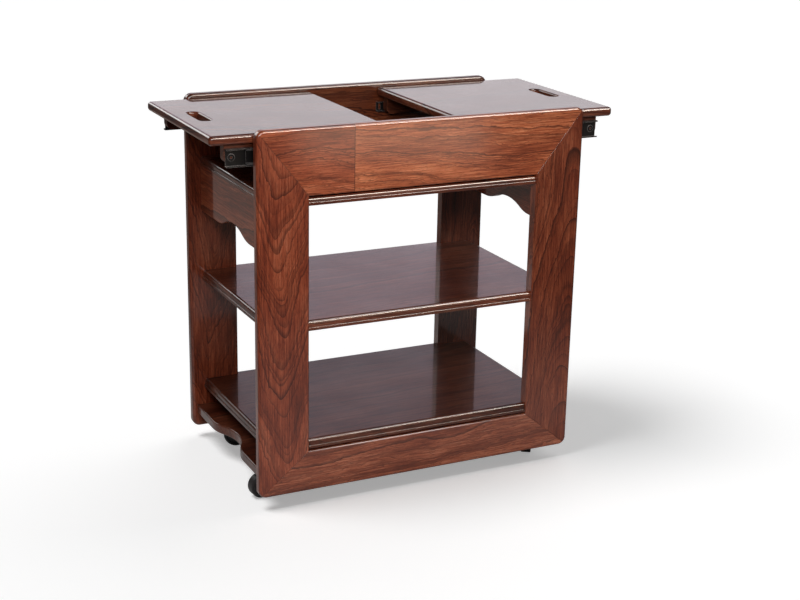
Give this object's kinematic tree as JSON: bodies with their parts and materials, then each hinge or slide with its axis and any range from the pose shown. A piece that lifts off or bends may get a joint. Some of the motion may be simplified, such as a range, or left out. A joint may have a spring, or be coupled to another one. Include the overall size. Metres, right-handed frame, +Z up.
{
  "type": "photo album stand",
  "caption": "Rolling wooden stand with mitred end frames, open shelves and two leaves that slide apart over an album compartment.",
  "frame": {"origin": "centre of the bounding box at the ground, under the wheels", "axes": "+X along the length, the way the right leaf slides out; +Y from the front frame to the rear frame; +Z up"},
  "size_m": [0.888, 0.436, 0.778],
  "materials": {
    "rosewood": "gloss lacquer, grain along each board",
    "dowel_wood": "plain beech",
    "slide_black": "black coated steel",
    "slide_zinc": "bright zinc",
    "screw_steel": "zinc plated",
    "caster_black": "black, satin",
    "wheel_black": "black nylon, satin"
  },
  "bodies": {
    "stand": {"base_board": "rosewood", "caster_screws": "screw_steel", "compartment_floor": "rosewood", "front_bottom_rail": "rosewood", "front_left_caster_plate": "caster_black", "front_left_stile": "rosewood", "front_right_caster_plate": "caster_black", "front_right_stile": "rosewood", "front_top_rail": "rosewood", "left_front_rail_member": "slide_black", "left_rear_rail_member": "slide_black", "left_top_apron": "rosewood", "lower_shelf": "rosewood", "rail_slide_screws": "screw_steel", "rear_bottom_rail": "rosewood", "rear_left_caster_plate": "caster_black", "rear_left_stile": "rosewood", "rear_right_caster_plate": "caster_black", "rear_right_stile": "rosewood", "rear_top_rail": "rosewood", "right_front_rail_member": "slide_black", "right_rear_rail_member": "slide_black", "right_top_apron": "rosewood", "shelf_dowels": "dowel_wood", "upper_shelf": "rosewood"},
    "left_leaf": {"left_leaf": "rosewood", "left_cleat_screws": "screw_steel", "left_slide_screws": "screw_steel", "left_front_cleat": "rosewood", "left_front_leaf_member": "slide_black", "left_rear_cleat": "rosewood", "left_rear_leaf_member": "slide_black"},
    "left_front_slide_middle": {"left_front_middle_member": "slide_black", "left_front_ball_cages": "slide_zinc"},
    "left_rear_slide_middle": {"left_rear_middle_member": "slide_black", "left_rear_ball_cages": "slide_zinc"},
    "right_leaf": {"right_leaf": "rosewood", "right_cleat_screws": "screw_steel", "right_slide_screws": "screw_steel", "right_front_cleat": "rosewood", "right_front_leaf_member": "slide_black", "right_rear_cleat": "rosewood", "right_rear_leaf_member": "slide_black"},
    "right_front_slide_middle": {"right_front_middle_member": "slide_black", "right_front_ball_cages": "slide_zinc"},
    "right_rear_slide_middle": {"right_rear_middle_member": "slide_black", "right_rear_ball_cages": "slide_zinc"},
    "front_left_fork": {"front_left_caster_fork": "caster_black", "front_left_caster_axle": "screw_steel"},
    "front_left_wheel": {"front_left_caster_wheel": "wheel_black"},
    "front_right_fork": {"front_right_caster_fork": "caster_black", "front_right_caster_axle": "screw_steel"},
    "front_right_wheel": {"front_right_caster_wheel": "wheel_black"},
    "rear_left_fork": {"rear_left_caster_fork": "caster_black", "rear_left_caster_axle": "screw_steel"},
    "rear_left_wheel": {"rear_left_caster_wheel": "wheel_black"},
    "rear_right_fork": {"rear_right_caster_fork": "caster_black", "rear_right_caster_axle": "screw_steel"},
    "rear_right_wheel": {"rear_right_caster_wheel": "wheel_black"}
  },
  "joints": [
    {"name": "left_leaf_slide", "type": "slide", "parent": "stand", "child": "left_leaf", "axis": [-1, 0, 0], "range_m": [-0.08, 0.17]},
    {"name": "left_front_middle_slide", "type": "slide", "parent": "stand", "child": "left_front_slide_middle", "axis": [-1, 0, 0], "range_m": [-0.04, 0.085]},
    {"name": "left_rear_middle_slide", "type": "slide", "parent": "stand", "child": "left_rear_slide_middle", "axis": [-1, 0, 0], "range_m": [-0.04, 0.085]},
    {"name": "right_leaf_slide", "type": "slide", "parent": "stand", "child": "right_leaf", "axis": [1, 0, 0], "range_m": [-0.08, 0.17]},
    {"name": "right_front_middle_slide", "type": "slide", "parent": "stand", "child": "right_front_slide_middle", "axis": [1, 0, 0], "range_m": [-0.04, 0.085]},
    {"name": "right_rear_middle_slide", "type": "slide", "parent": "stand", "child": "right_rear_slide_middle", "axis": [1, 0, 0], "range_m": [-0.04, 0.085]},
    {"name": "front_left_swivel", "type": "hinge", "parent": "stand", "child": "front_left_fork", "pos_m": [-0.305, -0.143, 0.055], "axis": [0, 0, 1], "continuous": true},
    {"name": "front_left_roll", "type": "hinge", "parent": "front_left_fork", "child": "front_left_wheel", "pos_m": [-0.3299, -0.14518, 0.025], "axis": [0.0872, -0.9962, 0], "continuous": true},
    {"name": "front_right_swivel", "type": "hinge", "parent": "stand", "child": "front_right_fork", "pos_m": [0.305, -0.143, 0.055], "axis": [0, 0, 1], "continuous": true},
    {"name": "front_right_roll", "type": "hinge", "parent": "front_right_fork", "child": "front_right_wheel", "pos_m": [0.29175, -0.1642, 0.025], "axis": [0.848, -0.5299, 0], "continuous": true},
    {"name": "rear_left_swivel", "type": "hinge", "parent": "stand", "child": "rear_left_fork", "pos_m": [-0.305, 0.143, 0.055], "axis": [0, 0, 1], "continuous": true},
    {"name": "rear_left_roll", "type": "hinge", "parent": "rear_left_fork", "child": "rear_left_wheel", "pos_m": [-0.28452, 0.12866, 0.025], "axis": [0.5736, 0.8192, 0], "continuous": true},
    {"name": "rear_right_swivel", "type": "hinge", "parent": "stand", "child": "rear_right_fork", "pos_m": [0.305, 0.143, 0.055], "axis": [0, 0, 1], "continuous": true},
    {"name": "rear_right_roll", "type": "hinge", "parent": "rear_right_fork", "child": "rear_right_wheel", "pos_m": [0.31355, 0.16649, 0.025], "axis": [-0.9397, 0.342, 0], "continuous": true}
  ],
  "couplings": [
    {"joint": "left_front_middle_slide", "follows": "left_leaf_slide", "ratio": 0.5},
    {"joint": "left_rear_middle_slide", "follows": "left_leaf_slide", "ratio": 0.5},
    {"joint": "right_front_middle_slide", "follows": "right_leaf_slide", "ratio": 0.5},
    {"joint": "right_rear_middle_slide", "follows": "right_leaf_slide", "ratio": 0.5}
  ]
}
